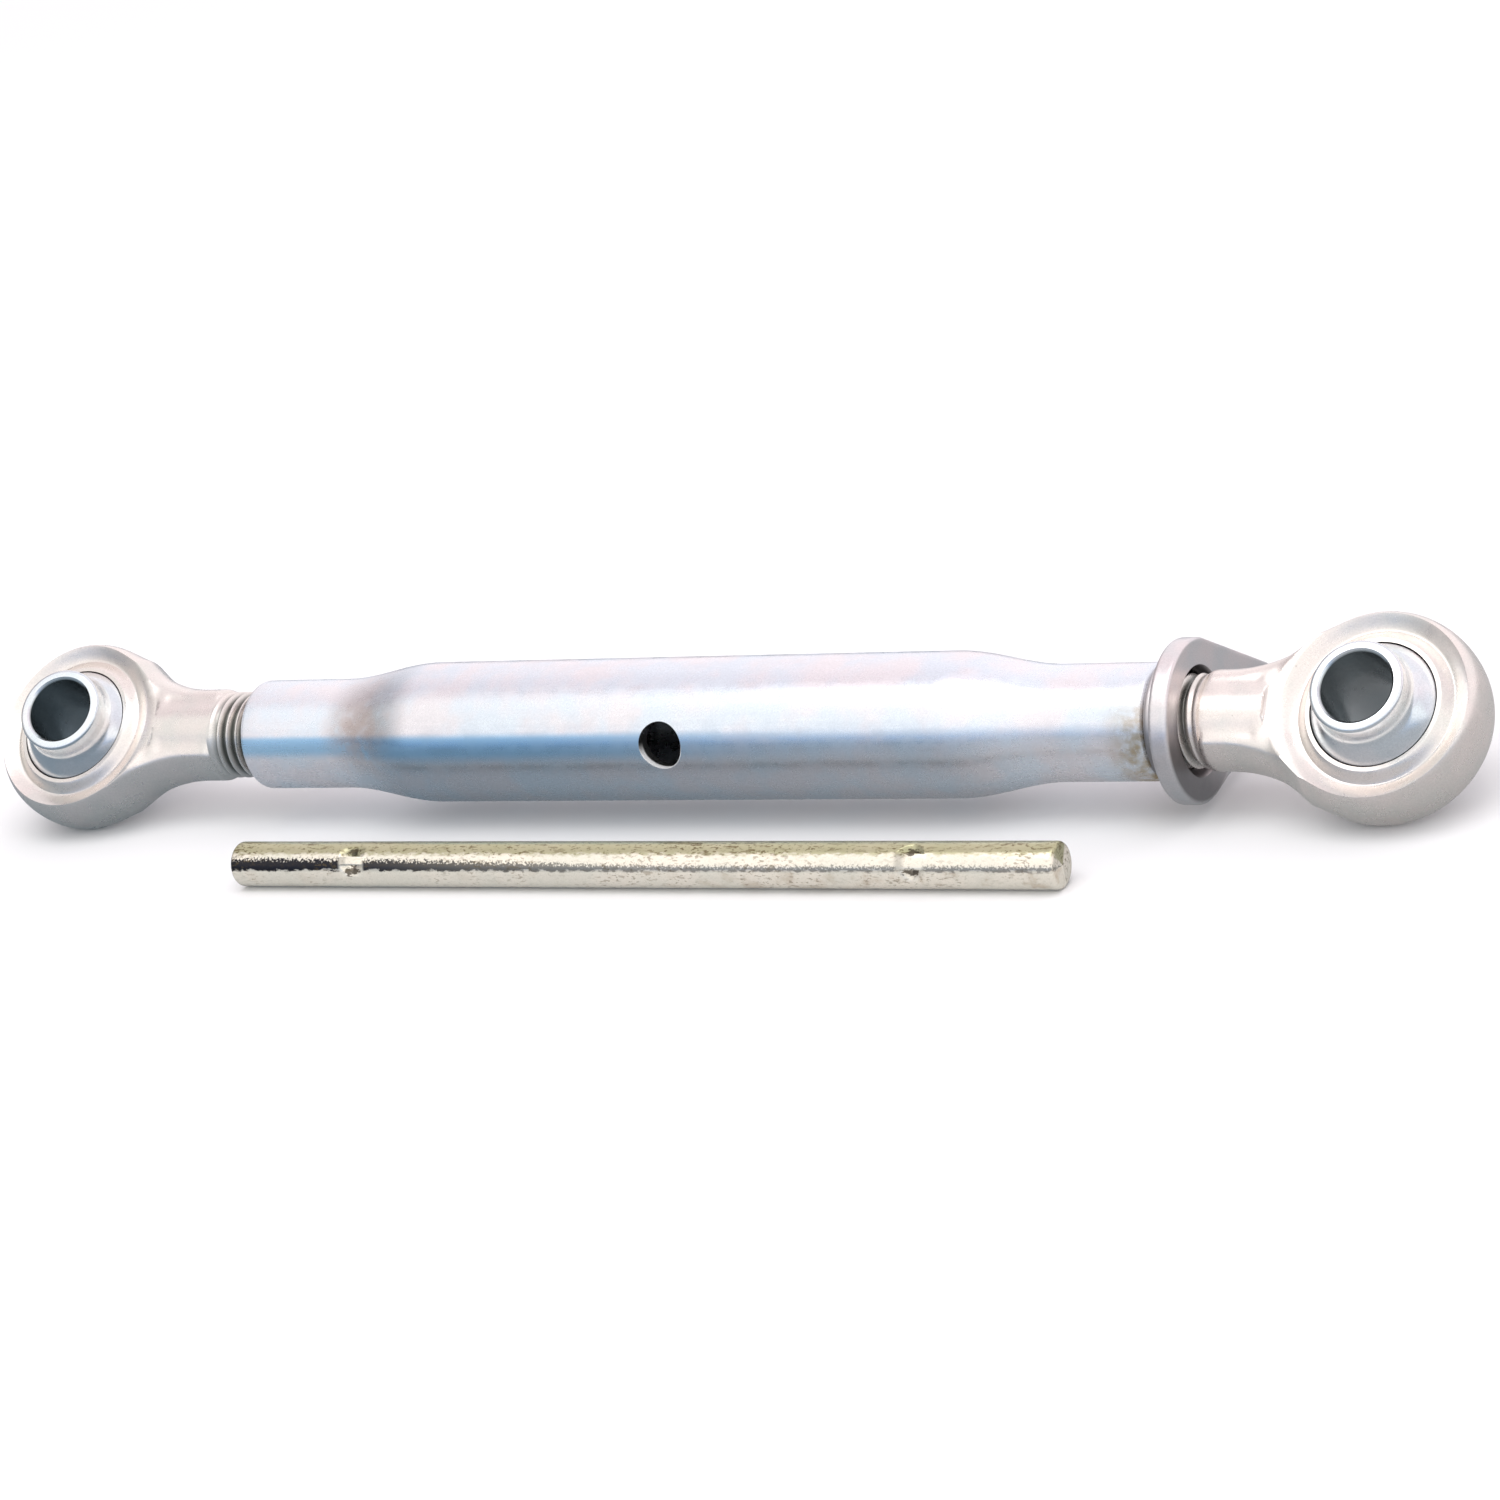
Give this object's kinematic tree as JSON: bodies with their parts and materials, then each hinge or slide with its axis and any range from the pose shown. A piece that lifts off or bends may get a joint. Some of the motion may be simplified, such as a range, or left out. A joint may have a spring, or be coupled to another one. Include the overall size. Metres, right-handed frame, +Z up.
{
  "type": "three-point hitch top link",
  "caption": "Ball-end turnbuckle for a tractor's three-point hitch: swaged tube, eye ends with bored swivel balls, lug lock nut and a loose turning bar.",
  "frame": {"origin": "bottom centre of the whole object's box, on the surface that the link and its turning bar lie on", "axes": "+X along the link's axis from the plain end to the lock nut end, +Z up; the link lies rolled 43.6 degrees about its axis, so the ball bores point (0, -0.689, 0.725)"},
  "size_m": [0.4708, 0.1074, 0.0488],
  "materials": {
    "zinc_plate": "satin bright zinc plate",
    "forged_zinc_plate": "zinc plate over a shot-blasted forging",
    "bright_zinc_plate": "zinc plate over a machined ball",
    "aged_zinc_plate": "yellowish zinc plate with fine brown specks"
  },
  "bodies": {
    "left_eye": {"left_eye_end": "forged_zinc_plate"},
    "lock_nut": {"lock_nut": "zinc_plate"},
    "barrel": {"barrel_tube": "zinc_plate"},
    "right_eye": {"right_eye_end": "forged_zinc_plate"},
    "left_ball": {"left_ball": "bright_zinc_plate"},
    "right_ball": {"right_ball": "bright_zinc_plate"},
    "turning_bar": {"turning_bar": "aged_zinc_plate"}
  },
  "joints": [
    {"name": "lock_nut_travel", "type": "slide", "parent": "left_eye", "child": "lock_nut", "axis": [1, 0, 0], "range_m": [-0.0016, 0.0858]},
    {"name": "barrel_turn", "type": "hinge", "parent": "lock_nut", "child": "barrel", "pos_m": [0.0015, 0.00326, 0.02438], "axis": [-1, 0, 0], "range_deg": [-180, 9720]},
    {"name": "right_eye_travel", "type": "slide", "parent": "left_eye", "child": "right_eye", "axis": [1, 0, 0], "range_m": [-0.0032, 0.1715]},
    {"name": "left_ball_swing", "type": "hinge", "parent": "left_eye", "child": "left_ball", "pos_m": [-0.2074, 0.00326, 0.02438], "axis": [0, 0.7247, 0.6891], "range_deg": [-21.8, 6.2]},
    {"name": "right_ball_swing", "type": "hinge", "parent": "right_eye", "child": "right_ball", "pos_m": [0.2074, 0.00326, 0.02438], "axis": [0, 0.7247, 0.6891], "range_deg": [-14, 14]},
    {"name": "turning_bar_lift", "type": "slide", "parent": "left_eye", "child": "turning_bar", "axis": [0, 0, 1], "range_m": [0, 0.1]}
  ],
  "couplings": [
    {"joint": "lock_nut_travel", "follows": "barrel_turn", "m_per_rad": 0.00050532},
    {"joint": "right_eye_travel", "follows": "barrel_turn", "m_per_rad": 0.0010106}
  ]
}
